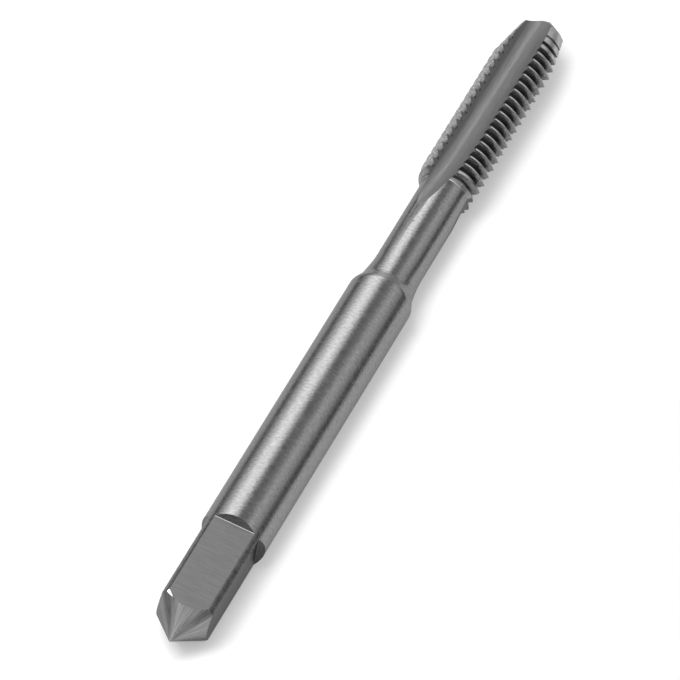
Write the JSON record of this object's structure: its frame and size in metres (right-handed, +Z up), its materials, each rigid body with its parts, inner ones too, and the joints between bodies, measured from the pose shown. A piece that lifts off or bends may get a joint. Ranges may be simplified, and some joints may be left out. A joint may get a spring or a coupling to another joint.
{
  "type": "thread tap",
  "caption": "Straight-flute machine tap with a ground shank, waisted neck, tapered lead and square drive end.",
  "frame": {"origin": "on the surface the tap lies on, below the middle of its length", "axes": "+X along the tap from the drive square to the threaded point, +Z up"},
  "size_m": [0.078, 0.006, 0.006],
  "materials": {
    "tool_steel": "ground"
  },
  "bodies": {
    "root": {"thread_tap": "tool_steel"}
  },
  "joints": []
}
